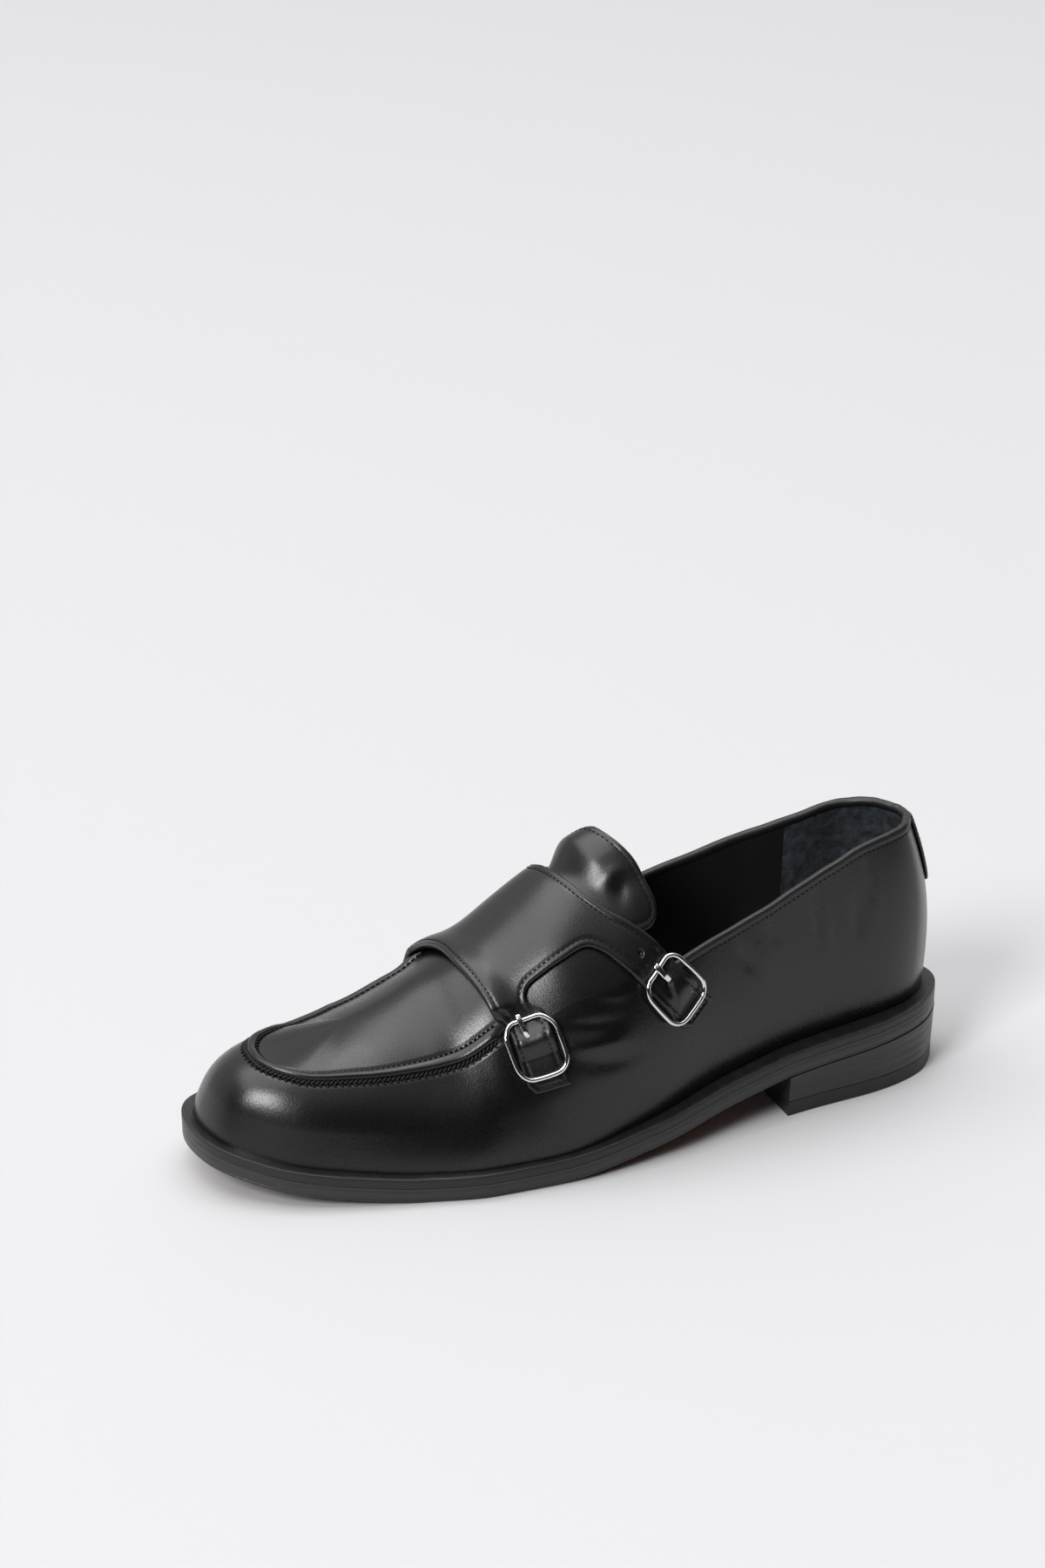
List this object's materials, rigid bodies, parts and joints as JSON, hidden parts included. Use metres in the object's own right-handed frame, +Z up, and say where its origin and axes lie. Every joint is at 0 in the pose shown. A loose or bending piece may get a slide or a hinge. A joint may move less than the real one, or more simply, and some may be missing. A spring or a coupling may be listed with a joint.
{
  "type": "loafer",
  "caption": "Left double-buckle strap loafer in smooth leather, with an apron toe, an open collar, a welted leather sole and a low stacked heel.",
  "frame": {"origin": "on the floor, under the middle of the shoe's length and width", "axes": "+X from heel to toe, +Y to the outer (lateral) side of the left shoe, +Z up"},
  "size_m": [0.3, 0.103, 0.1116],
  "materials": {
    "upper_leather": "smooth black calf, semi-gloss",
    "saddle_leather": "smooth black calf, semi-gloss",
    "tongue_leather": "smooth black calf, a little duller",
    "strip_leather": "smooth black calf, semi-gloss",
    "insole_leather": "dull dark lining leather",
    "welt_leather": "black edge, satin",
    "sole_leather": "black dressed edge, satin",
    "heel_leather": "stacked leather, black satin",
    "lift_rubber": "black rubber top piece, satin",
    "front_frame_steel": "polished nickel",
    "front_prong_steel": "polished nickel",
    "rear_frame_steel": "polished nickel",
    "rear_prong_steel": "polished nickel"
  },
  "bodies": {
    "root": {"upper": "upper_leather", "saddle": "saddle_leather", "tongue": "tongue_leather", "back_strip": "strip_leather", "insole": "insole_leather", "welt": "welt_leather", "outsole": "sole_leather", "heel_stack": "heel_leather", "heel_lift": "lift_rubber", "front_buckle": "front_frame_steel", "front_prong": "front_prong_steel", "rear_buckle": "rear_frame_steel", "rear_prong": "rear_prong_steel"}
  },
  "joints": []
}
